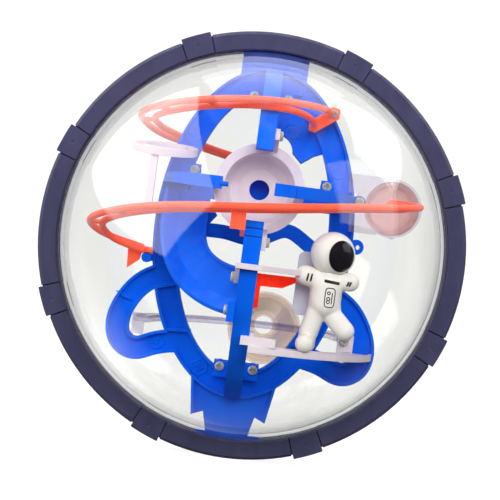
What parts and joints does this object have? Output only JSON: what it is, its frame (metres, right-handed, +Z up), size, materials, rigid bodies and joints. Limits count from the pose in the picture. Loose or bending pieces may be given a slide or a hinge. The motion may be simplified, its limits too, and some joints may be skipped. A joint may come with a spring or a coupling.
{
  "type": "tilt maze game",
  "caption": "Clear hollow ball in a dark clipped ring, with blue ball tracks, orange wire rails, a bowl and a small spaceman inside. A loose steel ball runs through it as the whole is tilted.",
  "frame": {"origin": "centre of the clear sphere, in the middle plane of the ring", "axes": "+Z up along the maze, -Y to the front, so the ring lies in the XZ plane and its axis is Y"},
  "size_m": [0.18, 0.163, 0.18],
  "materials": {
    "ball_steel": "polished",
    "blue_plastic": "semi-gloss",
    "clear_part": "clear, slightly grey",
    "clear_shell": "clear polished polystyrene",
    "figure_white": "semi-gloss warm white",
    "orange_plastic": "semi-gloss",
    "pale_plastic": "pearl grey-pink, semi-gloss",
    "peach_clear": "peach, see-through",
    "pink_clear": "dusty pink, see-through",
    "red_plastic": "semi-gloss",
    "rim_plastic": "fine matte slate purple",
    "screw_steel": "zinc plated",
    "visor_black": "polished black"
  },
  "bodies": {
    "maze": {"arm_bar": "pale_plastic", "bowl": "pale_plastic", "catch_cup": "pink_clear", "catch_tray": "clear_part", "chute": "blue_plastic", "clear_rail_rear": "clear_part", "cross_bar_left": "blue_plastic", "cross_bar_right": "blue_plastic", "dome_front": "clear_shell", "dome_rear": "clear_shell", "drop_elbow": "blue_plastic", "figure_backpack": "figure_white", "figure_body": "figure_white", "figure_helmet": "figure_white", "figure_visor": "visor_black", "gallery": "blue_plastic", "main_plate": "blue_plastic", "orange_rail_lower": "orange_plastic", "orange_rail_upper": "orange_plastic", "rear_funnel": "peach_clear", "red_bracket": "red_plastic", "rim_clip_1": "rim_plastic", "rim_clip_2": "rim_plastic", "rim_clip_3": "rim_plastic", "rim_clip_4": "rim_plastic", "rim_clip_5": "rim_plastic", "rim_clip_6": "rim_plastic", "rim_clip_7": "rim_plastic", "rim_clip_8": "rim_plastic", "rim_front": "rim_plastic", "rim_rear": "rim_plastic", "screw_1": "screw_steel", "screw_10": "screw_steel", "screw_11": "screw_steel", "screw_12": "screw_steel", "screw_13": "screw_steel", "screw_2": "screw_steel", "screw_3": "screw_steel", "screw_4": "screw_steel", "screw_5": "screw_steel", "screw_6": "screw_steel", "screw_7": "screw_steel", "screw_8": "screw_steel", "screw_9": "screw_steel", "spine_lower_front": "blue_plastic", "spine_rear": "blue_plastic", "spine_upper_front": "blue_plastic", "walkway": "pale_plastic", "walkway_step": "pale_plastic", "wavy_track_rear": "blue_plastic", "white_ring": "pale_plastic"},
    "ball": {"steel_ball": "ball_steel"}
  },
  "joints": [
    {"name": "ball_roll", "type": "hinge", "parent": "maze", "child": "ball", "pos_m": [0, 0, 0.0235], "axis": [0, 0, 1], "range_deg": [-70, 70]}
  ]
}
